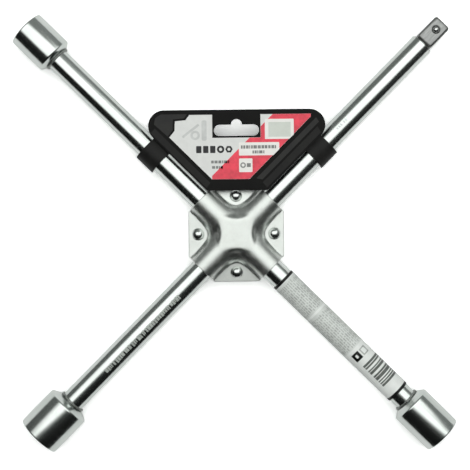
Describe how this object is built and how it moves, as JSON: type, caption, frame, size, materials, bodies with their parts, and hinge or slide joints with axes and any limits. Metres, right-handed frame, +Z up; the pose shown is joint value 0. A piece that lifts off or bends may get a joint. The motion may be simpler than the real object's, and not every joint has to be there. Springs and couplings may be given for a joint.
{
  "type": "four-way lug wrench",
  "caption": "Cross-shaped wheel-nut wrench with three hex sockets, a sprung square drive, a riveted centre plate and a clip-on plastic hanger.",
  "frame": {"origin": "On the floor under the middle of the wrench's outline, lying flat; the bars' axes cross at x -0.00395, y -0.00205, z 0.0155", "axes": "+Z up, away from the floor; +X out along the square drive's arm; +Y out along the 17 mm socket's arm"},
  "size_m": [0.3922, 0.395, 0.031],
  "materials": {
    "chrome": "polished chrome plate, slightly clouded",
    "drive_steel": "satin plated steel",
    "spring_steel": "polished hardened steel",
    "rivet_steel": "bright zinc plate",
    "satin_plate": "pressed sheet, satin zinc plate",
    "weld_bead": "plated weld bead",
    "black_plastic": "moulded, fine texture",
    "printed_card": "printed and varnished card",
    "label_paper": "printed paper sleeve"
  },
  "bodies": {
    "wrench": {"bar_17_19": "chrome", "bar_21_drive": "chrome", "socket_17": "chrome", "socket_19": "chrome", "socket_21": "chrome", "weld_socket_17": "weld_bead", "weld_socket_19": "weld_bead", "weld_socket_21": "weld_bead", "square_drive": "drive_steel", "weld_drive": "weld_bead", "detent_spring": "spring_steel", "front_gusset_plate": "satin_plate", "back_gusset_plate": "satin_plate", "rivet_top": "rivet_steel", "rivet_left": "rivet_steel", "rivet_bottom": "rivet_steel", "rivet_right": "rivet_steel", "cross_weld_front": "weld_bead", "cross_weld_left": "weld_bead", "cross_weld_back": "weld_bead", "cross_weld_right": "weld_bead", "label_sleeve": "label_paper"},
    "ball": {"detent_ball": "spring_steel"},
    "hanger": {"hanger": "black_plastic", "printed_card": "printed_card"}
  },
  "joints": [
    {"name": "ball_press", "type": "slide", "parent": "wrench", "child": "ball", "axis": [0, 0, -1], "range_m": [0, 0.001], "stiffness_N_per_m": 2000, "springref_m": -0.002, "deforming": ["detent_spring"]},
    {"name": "hanger_lift", "type": "slide", "parent": "wrench", "child": "hanger", "axis": [0, 0, 1], "range_m": [0, 0.04]}
  ]
}
